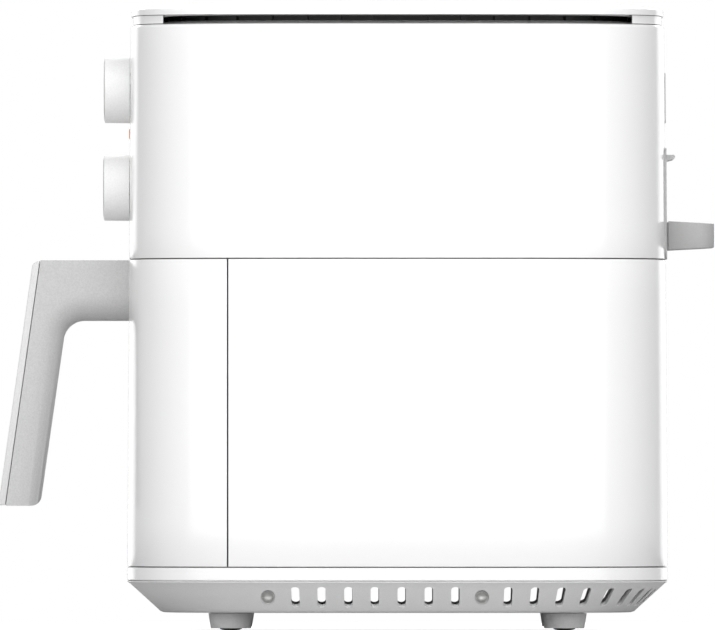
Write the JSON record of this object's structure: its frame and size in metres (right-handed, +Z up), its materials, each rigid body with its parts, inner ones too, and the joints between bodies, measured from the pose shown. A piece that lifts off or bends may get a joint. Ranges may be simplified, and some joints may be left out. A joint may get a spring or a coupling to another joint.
{
  "type": "hot-air fryer",
  "caption": "Counter-top hot-air fryer: rounded white housing with lid, pull-out drawer with L-shaped handle, crisper tray, front knobs, rear outlet with wall spacer, slotted base.",
  "frame": {"origin": "on the surface it stands on, under the middle of the whole object's box", "axes": "+Z up, -Y the front with the handle and the knobs, +Y the back with the wall spacer, +X the right-hand side seen from behind the front"},
  "size_m": [0.267, 0.3522, 0.3099],
  "materials": {
    "white_gloss": "glossy white moulded plastic",
    "white_satin": "fine-grained white plastic",
    "grey_matt": "fine-grained grey plastic",
    "grey_pale": "plain light grey plastic",
    "grey_foot": "matt grey plastic",
    "black_matt": "matt black plastic",
    "rubber": "soft black rubber",
    "nonstick": "dark non-stick coating on steel",
    "steel": "plain steel",
    "aluminised": "aluminised sheet",
    "phenolic": "black phenolic moulding",
    "silicone": "dark silicone",
    "amber": "clear amber lens"
  },
  "bodies": {
    "housing": {"base_pan": "grey_pale", "base_ring": "white_gloss", "base_screw_left_back": "steel", "base_screw_left_front": "steel", "base_screw_right_back": "steel", "base_screw_right_front": "steel", "chamber_liner": "aluminised", "cord_inlet_bush": "black_matt", "drawer_rail_left": "steel", "drawer_rail_right": "steel", "element_guard": "steel", "fan_motor": "steel", "foot_back_left": "grey_foot", "foot_back_right": "grey_foot", "foot_front_left": "grey_foot", "foot_front_right": "grey_foot", "foot_pad_back_left": "rubber", "foot_pad_back_right": "rubber", "foot_pad_front_left": "rubber", "foot_pad_front_right": "rubber", "heater_dome": "aluminised", "heating_coil": "steel", "indicator_lens": "amber", "interlock_switch": "phenolic", "lid": "white_gloss", "lower_housing": "white_gloss", "motor_bracket": "steel", "rating_plate": "grey_pale", "rear_outlet_panel": "grey_pale", "rear_spacer": "grey_matt", "thermal_fuse": "black_matt", "thermostat_body": "phenolic", "timer_body": "phenolic", "upper_housing": "white_gloss", "vent_neck": "black_matt"},
    "drawer": {"drawer_front": "white_gloss", "drawer_inner_panel": "white_satin", "drawer_pan": "nonstick", "pan_bracket_left": "steel", "pan_bracket_right": "steel", "handle_grip": "grey_matt", "handle_cover": "white_satin", "handle_screw_left": "steel", "handle_screw_right": "steel"},
    "tray": {"crisper_tray": "nonstick", "tray_foot_1": "silicone", "tray_foot_2": "silicone", "tray_foot_3": "silicone", "tray_foot_4": "silicone"},
    "temperature_control": {"temperature_knob": "white_satin", "temperature_shaft": "steel"},
    "timer_control": {"timer_knob": "white_satin", "timer_shaft": "steel"},
    "fan_rotor": {"hot_air_fan": "steel", "cooling_fan": "black_matt", "fan_shaft": "steel"},
    "interlock": {"interlock_plunger": "white_satin"}
  },
  "joints": [
    {"name": "drawer_slide", "type": "slide", "parent": "housing", "child": "drawer", "axis": [0, -1, 0], "range_m": [0, 0.2]},
    {"name": "crisper_tray_lift", "type": "slide", "parent": "drawer", "child": "tray", "axis": [0, 0, 1], "range_m": [0, 0.1]},
    {"name": "temperature_knob_turn", "type": "hinge", "parent": "housing", "child": "temperature_control", "pos_m": [0, -0.11214, 0.2668], "axis": [0, 1, 0], "range_deg": [0, 270]},
    {"name": "timer_knob_turn", "type": "hinge", "parent": "housing", "child": "timer_control", "pos_m": [0, -0.11246, 0.2185], "axis": [0, 1, 0], "range_deg": [0, 300]},
    {"name": "fan_spin", "type": "hinge", "parent": "housing", "child": "fan_rotor", "pos_m": [0, 0.0323, 0.2139], "axis": [0, 0, 1], "continuous": true},
    {"name": "interlock_plunger_press", "type": "slide", "parent": "housing", "child": "interlock", "axis": [0, 1, 0], "range_m": [0, 0.0015], "stiffness_N_per_m": 400}
  ]
}
